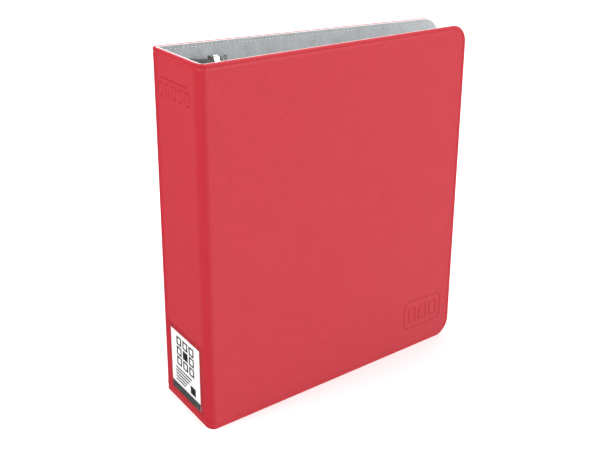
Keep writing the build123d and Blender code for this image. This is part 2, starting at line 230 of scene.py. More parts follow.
# ---------------------------------------------------------------- panels
class Side:
    """A cover and its fold as one unrolled strip: u runs from where the spine's flat part ends,
    round the fold and over the cover to its fore-edge, and depth runs inwards from the outer face."""

    def __init__(self, corner, to_spine, along, outward, bends):
        self.corner, self.to_spine = np.array(corner), np.array(to_spine)
        self.along, self.outward = np.array(along), np.array(outward)
        start = self.corner + bends[0] * self.to_spine
        end = self.corner + bends[1] * self.along
        t = np.linspace(0, 1, 400)[:, None]
        weight = (1 - t) ** 2 + 2 * FOLD_FULLNESS * t * (1 - t) + t**2
        bend = ((1 - t) ** 2 * start + 2 * FOLD_FULLNESS * t * (1 - t) * self.corner + t**2 * end) / weight
        first, last = self.corner + SPINE_REACH * self.to_spine, self.corner + COVER_REACH * self.along
        parts = [bend]
        if SPINE_REACH > bends[0]:
            parts.insert(0, first[None, :])
        if COVER_REACH > bends[1]:
            parts.append(last[None, :])
        self.curve = np.concatenate(parts)
        steps = np.diff(self.curve, axis=0)
        self.lengths = np.concatenate([[0], np.cumsum(np.hypot(*steps.T))])
        angles = np.unwrap(np.arctan2(steps[:, 1], steps[:, 0]))
        self.angles = np.interp(self.lengths, (self.lengths[1:] + self.lengths[:-1]) / 2, angles)
        self.fold = self.lengths[-1]
        self.width = self.fold + COVER_WIDTH - COVER_REACH
        # the outward normal is a quarter turn from the direction of travel
        first = np.array([cos(self.angles[0]), sin(self.angles[0])])
        self.turn = 1 if np.dot([first[1], -first[0]], [-1, 0]) > 0 else -1

    def cover_u(self, x):
        """u of a place on the cover, given its distance from the sharp corner."""
        return self.fold + x - COVER_REACH

    def place(self, u, depth):
        """Points (x, y) at places along the strip and depths below its outer face."""
        u, depth = np.asarray(u, float), np.asarray(depth, float)
        point = np.stack([np.interp(u, self.lengths, self.curve[:, k]) for k in (0, 1)], -1)
        point += np.minimum(u, 0)[..., None] * -self.to_spine
        point += np.maximum(u - self.fold, 0)[..., None] * self.along
        angle = np.interp(u, self.lengths, self.angles)
        normal = np.stack([np.sin(angle) * self.turn, -np.cos(angle) * self.turn], -1)
        normal = np.where((u > self.fold)[..., None], self.outward, normal)
        normal = np.where((u < 0)[..., None], [-1.0, 0.0], normal)
        return point - normal * depth[..., None]

    def edge_distance(self, u, v):
        """Distance in from the nearest free edge, where v is the height from the middle."""
        a, b = u - (self.width - CORNER_RADIUS), np.abs(v) - (HALF_HEIGHT - CORNER_RADIUS)
        corner = CORNER_RADIUS - np.hypot(a, b)
        straight = np.minimum(self.width - u, HALF_HEIGHT - np.abs(v))
        return np.where((a > 0) & (b > 0), corner, straight)


ALONG_FRONT, OUT_FRONT = (cos(FRONT_LEAN), sin(FRONT_LEAN)), (sin(FRONT_LEAN), -cos(FRONT_LEAN))
FRONT = Side((SPINE_X, FRONT_Y), (0, 1), ALONG_FRONT, OUT_FRONT, FOLD_BENDS["front"])
BACK = Side((SPINE_X, BACK_Y), (0, -1), (1, 0), (0, 1), FOLD_BENDS["back"])
SIDES = {"front": FRONT, "back": BACK}
SPINE_FLAT = (FRONT_Y + SPINE_REACH, BACK_Y - SPINE_REACH)


def warp_corner(u, v, width, height, radius):
    """Draws the square corners of a grid in onto round ones."""
    a, b = (u - (width - radius)) / radius, (np.abs(v) - (height - radius)) / radius
    inside = (a > 0) & (b > 0)
    a, b = np.clip(a, 0, 1), np.clip(b, 0, 1)
    round_u = width - radius + radius * a * np.sqrt(1 - b * b / 2)
    round_v = np.sign(v) * (height - radius + radius * b * np.sqrt(1 - a * a / 2))
    return np.where(inside, round_u, u), np.where(inside, round_v, v)


def slab(us, vs, free_end, roll, squareness, face_depth, back_depth, place, distance, warp):
    """A closed sheet over a grid. Its free edges roll over from the face to the back: the two runs along the
    grid's low and high v, and its last u too where free_end is true. Returns points, faces, unrolled
    coordinates, each point's distance from the panel's free edge, and which faces are its back."""
    u, v = np.meshgrid(us, vs, indexing="ij")
    u, v = warp(u, v)
    count_u, count_v = u.shape
    index = np.arange(count_u * count_v).reshape(count_u, count_v)
    if free_end:
        border = [(i, 0) for i in range(count_u)]
        border += [(count_u - 1, j) for j in range(1, count_v)]
        border += [(i, count_v - 1) for i in range(count_u - 2, -1, -1)]
        runs = [border]
    else:
        runs = [[(i, 0) for i in range(count_u)], [(i, count_v - 1) for i in range(count_u - 1, -1, -1)]]
    flat_u, flat_v = u.ravel(), v.ravel()
    points_u, points_v = [flat_u, flat_u], [flat_v, flat_v]
    depths = [face_depth(flat_u, flat_v), back_depth(flat_u, flat_v)]
    back = count_u * count_v
    faces = []
    for i in range(count_u - 1):
        for j in range(count_v - 1):
            a, b, c, d = index[i, j], index[i + 1, j], index[i + 1, j + 1], index[i, j + 1]
            faces.append((a, b, c, d))
            faces.append((back + d, back + c, back + b, back + a))
    total = 2 * back
    rings = 7 if roll > 1 else 3
    phases = np.linspace(0, pi, rings + 2)[1:-1]
    nudge = 0.02
    run_ends = []
    for run in runs:
        flat = np.array([index[i, j] for i, j in run])
        bu, bv = flat_u[flat], flat_v[flat]
        gu = (distance(bu + nudge, bv) - distance(bu - nudge, bv)) / (2 * nudge)
        gv = (distance(bu, bv + nudge) - distance(bu, bv - nudge)) / (2 * nudge)
        norm = np.maximum(np.hypot(gu, gv), 1e-6)
        gu, gv = gu / norm, gv / norm
        top, bottom = depths[0][flat], depths[1][flat]
        loops = [flat]
        for phase in phases:
            reach = roll * sin(phase) ** squareness
            level = np.sign(cos(phase)) * abs(cos(phase)) ** squareness
            points_u.append(bu - gu * reach)
            points_v.append(bv - gv * reach)
            depths.append((top + bottom) / 2 - (bottom - top) / 2 * level)
            loops.append(np.arange(total, total + len(flat)))
            total += len(flat)
        loops.append(back + flat)
        for upper, lower in zip(loops, loops[1:]):
            for k in range(len(flat) - 1):
                faces.append((upper[k + 1], upper[k], lower[k], lower[k + 1]))
        run_ends.append([[int(loop[k]) for loop in loops] for k in (0, -1)])
    # close the cut ends, each a column of the grid with an edge's roll below and above it
    if free_end:
        cut_ends = [(index[0], run_ends[0][0], run_ends[0][1])]
    else:
        cut_ends = [(index[0], run_ends[0][0], run_ends[1][1]), (index[-1], run_ends[0][1], run_ends[1][0])]
    for column, low, high in cut_ends:
        column = [int(n) for n in column]
        faces.append((*column, *high[1:-1], *[back + n for n in reversed(column)], *reversed(low[1:-1])))
    points_u, points_v = np.concatenate(points_u), np.concatenate(points_v)
    depths = np.concatenate(depths)
    across = place(points_u, depths)
    points = np.column_stack([across, points_v + HALF_HEIGHT])
    backs = 1 + 2 * np.arange((count_u - 1) * (count_v - 1))
    uv = np.column_stack([points_u, points_v + HALF_HEIGHT])
    return points, faces, uv, distance(points_u, points_v), backs


def spine_place(u, depth):
    """Points (x, y) of the spine's flat part, where u runs from its front end to its back end."""
    return np.stack([SPINE_X + np.asarray(depth, float), SPINE_FLAT[0] + np.asarray(u, float)], -1)


def spine_distance(u, v):
    """Distance in from the spine's nearest free edge."""
    return HALF_HEIGHT - np.abs(v) + 0 * u


def keep(u, v):
    """The warp of a grid that stays square."""
    return u, v


def painted_fold_shade(u, fold):
    """How much painted shade a fold gets, from 0 to 1, along a strip that folds from 0 to fold."""
    return smooth(-5, 4, u) * smooth(fold + 1, fold - 6, u)


def sheet_piece(name, slab_parts, finishes, mirrored, shift, pressed=None, stretch=None):
    """Makes a slab an object, with its unrolled coordinates continuous from piece to piece. A second finish
    is its back's. pressed gives how dark each place is made by pressing and painted shade, and stretch how
    much painted shade its folds get, each from 0 to 1."""
    points, faces, uv, distances, backs = slab_parts
    slots = np.zeros(len(faces), int)
    slots[backs] = len(finishes) - 1
    obj = new_object(name, points, faces, finishes, slots)
    across = shift + (-uv[:, 0] if mirrored else uv[:, 0])
    add_uv(obj, np.column_stack([across, uv[:, 1]]))
    add_value(obj, "edge_distance", distances)
    if pressed is not None:
        add_value(obj, "pressed", pressed(uv[:, 0], uv[:, 1] - HALF_HEIGHT))
    if stretch is not None:
        add_value(obj, "painted_fold_shade", stretch(uv[:, 0]))
    return obj


COARSE_STEP = 7.0  # a grid's step where nothing is fine


def cover_slab(side, inset, roll, squareness, face_depth, back_depth, fine_u=(), fine_v=()):
    """A sheet over a whole cover and its fold, with fine stretches in its grid."""
    width, height = side.width - inset - roll, HALF_HEIGHT - inset - roll
    radius = CORNER_RADIUS - inset - roll
    seam, corner = width - SEAM_REACH, width - CORNER_RADIUS
    fine_u = [(0, side.fold + 2, 0.7), (seam, width, SEAM_STEP), (corner, seam, 1.4), *fine_u]
    fine_v = [*edge_stretches(-height, height), *fine_v]
    us, vs = grid_lines(0, width, COARSE_STEP, fine_u), grid_lines(-height, height, COARSE_STEP, fine_v)
    return slab(
        us, vs, True, roll, squareness, face_depth, back_depth, side.place, side.edge_distance,
        lambda u, v: warp_corner(u, v, width, height, radius),
    )


# ---------------------------------------------------------------- materials
def material(name):
    """A new material with nodes; returns it, its tree and its shader."""
    made = bpy.data.materials.new(name)
    made.use_nodes = True
    tree = made.node_tree
    return made, tree, tree.nodes["Principled BSDF"]


def link(tree, source, target):
    tree.links.new(source, target)


def colour(r, g, b):
    return (r, g, b, 1.0)


def ramp(tree, source, low, high, stops=(0.0, 1.0)):
    """Two colours mixed by a value between two stops."""
    made = tree.nodes.new("ShaderNodeValToRGB")
    made.color_ramp.elements[0].position, made.color_ramp.elements[1].position = stops
    made.color_ramp.elements[0].color, made.color_ramp.elements[1].color = low, high
    tree.links.new(source, made.inputs["Fac"])
    return made.outputs["Color"]


def number_ramp(tree, source, from_low, from_high, to_low, to_high):
    made = tree.nodes.new("ShaderNodeMapRange")
    values = zip(("From Min", "From Max", "To Min", "To Max"), (from_low, from_high, to_low, to_high))
    for key, value in values:
        made.inputs[key].default_value = value
    tree.links.new(source, made.inputs["Value"])
    return made.outputs["Result"]


def mix_colour(tree, factor, first, second, blend="MIX"):
    made = tree.nodes.new("ShaderNodeMix")
    made.data_type, made.blend_type = "RGBA", blend
    for value, socket in ((factor, made.inputs[0]), (first, made.inputs[6]), (second, made.inputs[7])):
        if isinstance(value, bpy.types.NodeSocket):
            tree.links.new(value, socket)
        else:
            socket.default_value = value
    return made.outputs[2]


def bump(tree, height, strength, distance, normal=None):
    made = tree.nodes.new("ShaderNodeBump")
    made.inputs["Strength"].default_value = strength
    made.inputs["Distance"].default_value = distance
    tree.links.new(height, made.inputs["Height"])
    if normal is not None:
        tree.links.new(normal, made.inputs["Normal"])
    return made.outputs["Normal"]


def unrolled(tree):
    made = tree.nodes.new("ShaderNodeUVMap")
    made.uv_map = "Unrolled"
    return made.outputs["UV"]


def noise(tree, vector, scale, detail=2.0, roughness=0.5):
    made = tree.nodes.new("ShaderNodeTexNoise")
    for key, value in (("Scale", scale), ("Detail", detail), ("Roughness", roughness)):
        made.inputs[key].default_value = value
    tree.links.new(vector, made.inputs["Vector"])
    return made.outputs["Fac"]


def object_place(tree):
    return tree.nodes.new("ShaderNodeTexCoord").outputs["Object"]


def leather_material():
    """Matte leatherette with a fine pebble grain, paler where it is rubbed along the edges, with painted
    shade along the hem and its stitched valley, over the folds and in its pressed places, which also get the
    pressed leather's own darker tone.
    """
    made, tree, shader = material("red_leatherette_fine_grain")
    where = unrolled(tree)
    pebble = tree.nodes.new("ShaderNodeTexVoronoi")
    pebble.feature = "SMOOTH_F1"
    pebble.inputs["Scale"].default_value = 1.15
    pebble.inputs["Smoothness"].default_value = 0.6
    link(tree, where, pebble.inputs["Vector"])
    wander = noise(tree, where, 0.9, 3.0, 0.6)
    cloud = noise(tree, where, 0.03, 3.0, 0.55)
    base = ramp(tree, cloud, colour(0.455, 0.022, 0.038), colour(0.505, 0.027, 0.044), (0.3, 0.7))
    grain = number_ramp(tree, pebble.outputs["Distance"], 0.0, 0.7, 0.0, 1.0)
    base = mix_colour(tree, grain, base, colour(0.39, 0.015, 0.026))
    edge = tree.nodes.new("ShaderNodeAttribute")
    edge.attribute_name = "edge_distance"
    rubbed = number_ramp(tree, edge.outputs["Fac"], 0.0, 1.4, 0.22, 0.0)
    # painted shade: a darker, deeper red band from the edge's roll in past the stitched valley
    hem_painted_shade = tree.nodes.new("ShaderNodeValToRGB")
    hem_painted_shade.color_ramp.interpolation = "EASE"
    stops = ((0.0, 0.0), (0.12, 0.75), (0.42, 0.85), (0.55, 0.0))
    hem_painted_shade.color_ramp.elements[1].position = stops[-1][0]
    for place_at, _ in stops[1:-1]:
        hem_painted_shade.color_ramp.elements.new(place_at)
    for element, (_, shade) in zip(hem_painted_shade.color_ramp.elements, stops):
        element.color = colour(shade, shade, shade)
    link(tree, number_ramp(tree, edge.outputs["Fac"], 0.0, 10.0, 0.0, 1.0), hem_painted_shade.inputs["Fac"])
    base = mix_colour(tree, hem_painted_shade.outputs["Color"], base, colour(0.42, 0.008, 0.018))
    base = mix_colour(tree, rubbed, base, colour(0.60, 0.050, 0.075))
    # painted shade: the folds' bands are darkened to a deeper red, as they catch less sheen than the flat
    # faces
    painted_fold_shade = tree.nodes.new("ShaderNodeAttribute")
    painted_fold_shade.attribute_name = "painted_fold_shade"
    fold_shade_amount = number_ramp(tree, painted_fold_shade.outputs["Fac"], 0.0, 1.0, 0.0, 0.85)
    base = mix_colour(tree, fold_shade_amount, base, colour(0.38, 0.003, 0.014))
    # the pressed places and the recess's rim are darkened: partly the pressed leather's own tone, partly
    # painted shade
    pressed = tree.nodes.new("ShaderNodeAttribute")
    pressed.attribute_name = "pressed"
    pressed_tone_and_shade = number_ramp(tree, pressed.outputs["Fac"], 0.2, 1.0, 0.0, 0.8)
    base = mix_colour(tree, pressed_tone_and_shade, base, colour(0.36, 0.006, 0.014))
    link(tree, base, shader.inputs["Base Color"])
    link(tree, number_ramp(tree, wander, 0.3, 0.7, 0.42, 0.54), shader.inputs["Roughness"])
    shader.inputs["Specular IOR Level"].default_value = 0.35
    first = bump(tree, pebble.outputs["Distance"], 0.35, 0.00012)
    link(tree, bump(tree, wander, 0.25, 0.00010, first), shader.inputs["Normal"])
    return made


def suede_material():
    """Grey microfibre with a cloudy nap, a pale cut edge, and painted shade in a dark band along the stitched
    seams.
    """
    made, tree, shader = material("grey_suede_microfibre")
    where = unrolled(tree)
    stretch = tree.nodes.new("ShaderNodeMapping")
    stretch.inputs["Scale"].default_value = (1.0, 0.6, 1.0)
    stretch.inputs["Rotation"].default_value = (0, 0, radians(24))
    link(tree, where, stretch.inputs["Vector"])
    cloud = noise(tree, stretch.outputs["Vector"], 0.07, 6.0, 0.66)
    strokes = noise(tree, stretch.outputs["Vector"], 0.35, 4.0, 0.7)
    fibre = noise(tree, where, 4.0, 3.0, 0.7)
    base = ramp(tree, cloud, colour(0.36, 0.385, 0.395), colour(0.55, 0.570, 0.580), (0.34, 0.66))
    brushed = number_ramp(tree, strokes, 0.38, 0.62, 0.0, 0.5)
    base = mix_colour(tree, brushed, base, colour(0.64, 0.655, 0.665))
    between = number_ramp(tree, fibre, 0.35, 0.65, 0.0, 0.55)
    base = mix_colour(tree, between, base, colour(0.20, 0.22, 0.23))
    edge = tree.nodes.new("ShaderNodeAttribute")
    edge.attribute_name = "edge_distance"
    pale = number_ramp(tree, edge.outputs["Fac"], LINING_INSET + 0.15, LINING_INSET + 0.55, 1.0, 0.0)
    base = mix_colour(tree, pale, base, colour(0.86, 0.88, 0.87))
    # painted shade: a dark band along the stitched seam, so the dimples between the stitches read dark
    seam_shade_in = number_ramp(tree, edge.outputs["Fac"], STITCH_INSET - 0.9, STITCH_INSET - 0.3, 0.0, 1.0)
    seam_shade_out = number_ramp(tree, edge.outputs["Fac"], STITCH_INSET + 0.3, STITCH_INSET + 0.9, 0.35, 0.0)
    seam = tree.nodes.new("ShaderNodeMath")
    seam.operation = "MULTIPLY"
    link(tree, seam_shade_in, seam.inputs[0])
    link(tree, seam_shade_out, seam.inputs[1])
    base = mix_colour(tree, seam.outputs["Value"], base, colour(0.13, 0.14, 0.145))
    link(tree, base, shader.inputs["Base Color"])
    shader.inputs["Roughness"].default_value = 0.95
    shader.inputs["Specular IOR Level"].default_value = 0.15
    shader.inputs["Sheen Weight"].default_value = 0.35
    shader.inputs["Sheen Roughness"].default_value = 0.5
    first = bump(tree, fibre, 0.5, 0.00015)
    link(tree, bump(tree, strokes, 0.4, 0.0003, first), shader.inputs["Normal"])
    return made


def thread_material(name, dark, light):
    """Twisted thread: fine diagonal strands."""
    made, tree, shader = material(name)
    where = object_place(tree)
    strands = noise(tree, where, 2500, 2.0, 0.6)
    link(tree, ramp(tree, strands, dark, light, (0.35, 0.65)), shader.inputs["Base Color"])
    shader.inputs["Roughness"].default_value = 0.6
    shader.inputs["Sheen Weight"].default_value = 0.2
    link(tree, bump(tree, strands, 0.5, 0.0001), shader.inputs["Normal"])
    return made


def metal_material(name, tint, smoothness, brushed):
    """Plated or rolled metal with faint marks along its length."""
    made, tree, shader = material(name)
    where = object_place(tree)
    stretch = tree.nodes.new("ShaderNodeMapping")
    stretch.inputs["Scale"].default_value = (900, 900, 40 if brushed else 500)
    link(tree, where, stretch.inputs["Vector"])
    marks = noise(tree, stretch.outputs["Vector"], 1.0, 3.0, 0.6)
    cloud = noise(tree, where, 60, 3.0, 0.6)
    duller = colour(*[0.9 * c for c in tint])
    link(tree, ramp(tree, cloud, duller, colour(*tint), (0.3, 0.7)), shader.inputs["Base Color"])
    shader.inputs["Metallic"].default_value = 1.0
    link(tree, number_ramp(tree, marks, 0.3, 0.7, smoothness, smoothness + 0.12), shader.inputs["Roughness"])
    link(tree, bump(tree, marks, 0.15 if brushed else 0.04, 0.00005), shader.inputs["Normal"])
    return made


def paper_material(name, tone, roughness):
    """Smooth printed card with a faint fibre."""
    made, tree, shader = material(name)
    fibre = noise(tree, object_place(tree), 1800, 4.0, 0.6)
    duller = colour(*[0.96 * c for c in tone])
    link(tree, ramp(tree, fibre, duller, colour(*tone), (0.3, 0.7)), shader.inputs["Base Color"])
    shader.inputs["Roughness"].default_value = roughness
    link(tree, bump(tree, fibre, 0.1, 0.00004), shader.inputs["Normal"])
    return made


def film_material():
    """Clear soft film, slightly uneven."""
    made, tree, shader = material("clear_film")
    ripple = noise(tree, object_place(tree), 90, 2.0, 0.5)
    shader.inputs["Base Color"].default_value = colour(0.12, 0.12, 0.12)
    shader.inputs["Alpha"].default_value = 0.045
    link(tree, number_ramp(tree, ripple, 0.3, 0.7, 0.08, 0.18), shader.inputs["Roughness"])
    link(tree, bump(tree, ripple, 0.15, 0.0004), shader.inputs["Normal"])
    return made


LEATHER = leather_material()
BACKING = paper_material("grey_backing_cloth", (0.42, 0.44, 0.45), 0.95)
SUEDE = suede_material()
RED_THREAD = thread_material("red_thread", colour(0.40, 0.015, 0.024), colour(0.58, 0.035, 0.05))
PALE_THREAD = thread_material("pale_thread", colour(0.60, 0.62, 0.62), colour(0.82, 0.84, 0.84))
NICKEL = metal_material("polished_nickel", (0.80, 0.78, 0.75), 0.10, False)
# painted shade: the cover plate's nickel gets a much darker tint than the rings', so its face shows dark
SHADED_PLATE_NICKEL = metal_material("satin_nickel_plate_painted_shade", (0.45, 0.44, 0.42), 0.16, True)
RIVET_NICKEL = metal_material("satin_nickel_rivets", (0.85, 0.84, 0.81), 0.55, False)
STEEL = metal_material("zinc_plated_steel", (0.60, 0.61, 0.63), 0.28, True)
BOARD = paper_material("greyboard", (0.30, 0.27, 0.22), 0.9)
FOAM = paper_material("foam_sheet", (0.70, 0.68, 0.62), 0.95)
PAPER = paper_material("label_paper", (0.80, 0.80, 0.79), 0.6)
INK = paper_material("label_black_ink", (0.008, 0.008, 0.009), 0.6)
GREY_INK = paper_material("label_grey_ink", (0.045, 0.055, 0.055), 0.6)
FILM = film_material()


# ---------------------------------------------------------------- leather
def constant(value):
    """A depth that is the same everywhere."""
    return lambda u, v: value + 0 * u


def front_marks(u, v):
    """Depth of the front's pressed marks."""
    x, z = u - FRONT.cover_u(0), v + HALF_HEIGHT
    frame_away = rounded_distance(x - FRONT_MARK[0], z - FRONT_MARK[1], *FRONT_FRAME)
    return np.maximum(mark_depth(x, z, FRONT_MARK), pressed_line(frame_away, MARK_LINE))


def front_skin_depth(u, v):
    return seam_depth(FRONT.edge_distance(u, v)) + front_marks(u, v)


def back_skin_depth(u, v):
    return seam_depth(BACK.edge_distance(u, v))


def label_distance(u, v):
    """Distance outside the label's recess, on the spine."""
    across = u + SPINE_FLAT[0] - label_y
    return rounded_distance(across, v + HALF_HEIGHT - label_z, *RECESS_HALF, RECESS_RADIUS)


def label_pressed(u, v):
    """1 in the label's recess and 0 outside it."""
    return smooth(-RECESS_EDGE, RECESS_EDGE, -label_distance(u, v))


def spine_marks(u, v):
    """Depth of the spine's pressed marks."""
    y, z = u + SPINE_FLAT[0], v + HALF_HEIGHT
    rule_y, rule_z = y - SPINE_MARK[0], z - SPINE_MARK[1] - SPINE_RULE[1]
    rule_away = rounded_distance(rule_y, rule_z, SPINE_RULE[0], RULE_HALF_THICKNESS, RULE_RADIUS)
    return np.maximum(mark_depth(y, z, SPINE_MARK), pressed_line(rule_away, MARK_LINE))


def spine_pressed_tone_and_shade(u, v):
    """How dark each place on the spine is made, from 0 to 1: its pressed marks and recess, partly for the
    pressed leather's own tone and partly as painted shade, and a band of painted shade over the recess's rim.
    """
    rim = bell(label_distance(u, v), 0, RIM_SHADE_WIDTH)
    return np.maximum.reduce([label_pressed(u, v), rim, spine_marks(u, v) / MARK_DEPTH])


def spine_skin_depth(u, v):
    away, pressed = label_distance(u, v), label_pressed(u, v)
    ridge = RIM_HEIGHT * bell(away, RIM_OFFSET, RIM_WIDTH)
    depth = np.maximum(seam_depth(spine_distance(u, v)) + spine_marks(u, v) - ridge, 0)
    return depth * (1 - pressed) + RECESS_FLOOR * pressed


MARK_STEP, RECESS_STEP = 0.45, 0.35  # the grid's steps over the pressed marks and the recess's edges


def around(middle, half, step):
    """A fine stretch of a grid about a middle."""
    return (middle - half, middle + half, step)


# How dark the front's pressed marks are made, from 0 to 1, partly for the pressed leather's own tone and
# partly as painted shade
def front_pressed_tone_and_shade(u, v):
    return front_marks(u, v) / MARK_DEPTH


def leather_pieces():
    """The padded leather, each piece over its grey backing cloth."""
    made = {}
    shape = (0, EDGE_ROLL, EDGE_SQUARENESS)
    bottom = constant(SKIN_BOTTOM)
    fine_u = [around(FRONT.cover_u(FRONT_MARK[0]), FRONT_FRAME[0] + 1, MARK_STEP)]
    fine_v = [around(FRONT_MARK[1] - HALF_HEIGHT, FRONT_FRAME[1] + 1, MARK_STEP)]
    parts = cover_slab(FRONT, *shape, front_skin_depth, bottom, fine_u, fine_v)
    made["front"] = sheet_piece(
        "front_leather", parts, [LEATHER, BACKING], False, -SPINE_FLAT[0], front_pressed_tone_and_shade,
        lambda u: painted_fold_shade(u, FRONT.fold),
    )
    parts = cover_slab(BACK, *shape, back_skin_depth, bottom)
    made["back"] = sheet_piece(
        "back_leather", parts, [LEATHER, BACKING], True, SPINE_FLAT[1],
        stretch=lambda u: painted_fold_shade(u, BACK.fold),
    )

    width, height = SPINE_FLAT[1] - SPINE_FLAT[0], HALF_HEIGHT - EDGE_ROLL
    mark_u, mark_v = SPINE_MARK[0] - SPINE_FLAT[0], SPINE_MARK[1] - HALF_HEIGHT
    recess_u, recess_v = label_y - SPINE_FLAT[0], label_z - HALF_HEIGHT
    fine_u = [around(recess_u + end * RECESS_HALF[0], 3.5, RECESS_STEP) for end in (-1, 1)]
    fine_u.append(around(mark_u, 30, MARK_STEP))
    fine_v = [around(recess_v + end * RECESS_HALF[1], 3.5, RECESS_STEP) for end in (-1, 1)]
    fine_v += [(mark_v - 7, mark_v + 12, MARK_STEP), *edge_stretches(-height, height)]
    us, vs = grid_lines(0, width, 5, fine_u), grid_lines(-height, height, COARSE_STEP, fine_v)
    parts = slab(
        us, vs, False, EDGE_ROLL, EDGE_SQUARENESS, spine_skin_depth, bottom, spine_place, spine_distance, keep
    )
    made["spine"] = sheet_piece(
        "spine_leather", parts, [LEATHER, BACKING], False, 0, spine_pressed_tone_and_shade,
        lambda u: np.maximum(painted_fold_shade(-u, FRONT.fold), painted_fold_shade(u - width, BACK.fold)),
    )
    return made


# ---------------------------------------------------------------- lining
def lining_pieces():
    """The lining, a thin sheet under the leather's turned-in edges."""
    made = {}
    shape = (LINING_ROLL, LINING_SQUARENESS)
    top = constant(LINING_TOP)
    for name, side in SIDES.items():
        parts = cover_slab(
            side, LINING_INSET, *shape, top, lambda u, v: WALL - lining_depth(side.edge_distance(u, v))
        )
        shift = -SPINE_FLAT[0] if name == "front" else SPINE_FLAT[1]
        made[name] = sheet_piece(f"{name}_suede_lining", parts, [SUEDE], name == "back", shift)
    width, height = SPINE_FLAT[1] - SPINE_FLAT[0], HALF_HEIGHT - LINING_INSET - LINING_ROLL
    us = grid_lines(0, width, COARSE_STEP, [])
    vs = grid_lines(-height, height, COARSE_STEP, edge_stretches(-height, height))
    parts = slab(
        us, vs, False, *shape, top, lambda u, v: WALL - lining_depth(spine_distance(u, v)),
        spine_place, spine_distance, keep,
    )
    made["spine"] = sheet_piece("spine_suede_lining", parts, [SUEDE], False, 0)
    return made


# ---------------------------------------------------------------- stitches
def seam_path(side):
    """Places (u, v, direction) one stitch apart along a cover's seam, from the fold round to the fold."""
    radius = CORNER_RADIUS - STITCH_INSET
    flat_u, flat_v = side.width - CORNER_RADIUS, HALF_HEIGHT - CORNER_RADIUS
    arc = radius * pi / 2
    total = 2 * flat_u + 2 * arc + 2 * flat_v
    count = int(total / STITCH_PITCH)
    for k in range(count):
        s = (k + 0.5) * total / count
        if s < flat_u:
            yield s, HALF_HEIGHT - STITCH_INSET, 0.0
            continue
        s -= flat_u
        if s < arc:
            angle = s / radius
            yield flat_u + radius * sin(angle), flat_v + radius * cos(angle), -angle
            continue
        s -= arc
        if s < 2 * flat_v:
            yield side.width - STITCH_INSET, flat_v - s, -pi / 2
            continue
        s -= 2 * flat_v
        if s < arc:
            angle = s / radius
            yield flat_u + radius * cos(angle), -flat_v - radius * sin(angle), -pi / 2 - angle
            continue
        s -= arc
        yield flat_u - s, -HALF_HEIGHT + STITCH_INSET, -pi


def spine_seam_path(width):
    """Places along the spine's two seams."""
    count = int(width / STITCH_PITCH)
    for v in (HALF_HEIGHT - STITCH_INSET, -HALF_HEIGHT + STITCH_INSET):
        for k in range(count):
            yield (k + 0.5) * width / count, v, 0.0


def stitch_shape(half_length, half_width, half_height):
    """One stitch: a bowed, round-ended length of thread along u, as points (u, v, height) and faces."""
    sides, rings = 8, (-1.0, -0.86, -0.5, 0.0, 0.5, 0.86, 1.0)
    points, faces = [], []
    for t in rings:
        girth = max(0.25, (1 - abs(t) ** 3) ** 0.5)
        sink = -0.9 * half_height * t**4
        for k in range(sides):
            angle = 2 * pi * k / sides
            across, up = half_width * cos(angle), half_height * sin(angle)
            points.append((t * half_length, girth * across, girth * up + sink))
    for ring in range(len(rings) - 1):
        for k in range(sides):
            a, b = ring * sides + k, ring * sides + (k + 1) % sides
            faces.append((a, a + sides, b + sides, b))
    faces.append(tuple(range(sides)))
    faces.append(tuple(reversed(range((len(rings) - 1) * sides, len(rings) * sides))))
    return np.array(points), faces


def stitches(name, path, place, depth, upward, material):
    """Rows of stitches whose middles lie at a depth. upward is 1 on the outside and -1 on the inside."""
    shape, shape_faces = stitch_shape(STITCH_LENGTH / 2, THREAD_HALF_WIDTH, THREAD_HALF_HEIGHT)
    verts, faces = [], []
    for u, v, turn in path:
        lean = turn + THREAD_LEAN
        at_u = u + shape[:, 0] * cos(lean) - shape[:, 1] * sin(lean)
        at_v = v + shape[:, 0] * sin(lean) + shape[:, 1] * cos(lean)
        at_depth = depth - upward * shape[:, 2]
        faces += [tuple(len(verts) * len(shape) + n for n in face) for face in shape_faces]
        verts.append(np.column_stack([place(at_u, at_depth), at_v + HALF_HEIGHT]))
    return new_object(name, np.concatenate(verts), faces, [material], smooth_angle=80)


def stitch_pieces():
    """The outer and inner stitches of each panel."""
    made = {}
    outer = FACE_DEPTH + VALLEY_DEPTH - OUTER_THREAD_RISE
    inner = WALL - LINING_VALLEY_DEPTH + INNER_THREAD_RISE
    for name, side in SIDES.items():
        made[name] = [
            stitches(f"{name}_outer_stitches", seam_path(side), side.place, outer, 1, RED_THREAD),
            stitches(f"{name}_inner_stitches", seam_path(side), side.place, inner, -1, PALE_THREAD),
        ]
    width = SPINE_FLAT[1] - SPINE_FLAT[0]
    made["spine"] = [
        stitches("spine_outer_stitches", spine_seam_path(width), spine_place, outer, 1, RED_THREAD),
        stitches("spine_inner_stitches", spine_seam_path(width), spine_place, inner, -1, PALE_THREAD),
    ]
    return made


# ---------------------------------------------------------------- label
def label_ink():
    """The card's black print, as boxes (left, right, foot, top) from its middle, left to right as read."""
    pocket_width, pocket_height, bar, upright = 9.8, 8.4, 1.7, 2.4
    first_left, first_top, pitch_across, pitch_down = -17.0, 26.0, 12.2, 9.9
    ink = []
    for column in range(3):
        for row in range(3):
            left, top = first_left + pitch_across * column, first_top - pitch_down * row
            right, foot = left + pocket_width, top - pocket_height
            ink += [(left, left + upright, foot, top), (right - upright, right, foot, top)]
            ink += [(left, right, top - bar, top), (left, right, foot, foot + bar)]
    ink.append((-4.8, 4.8, 7.7, 16.1))  # the middle pocket is filled
    rule_pitch = 3.1
    for foot, top, right, count in ((-7.0, -5.4, 12, 3), (-16.3, -14.7, 2, 2)):
        for k in range(count):
            ink.append((-20, right - 3 * k, foot - rule_pitch * k, top - rule_pitch * k))
    ink.append((9, 19, -20.0, -12.0))
    return ink


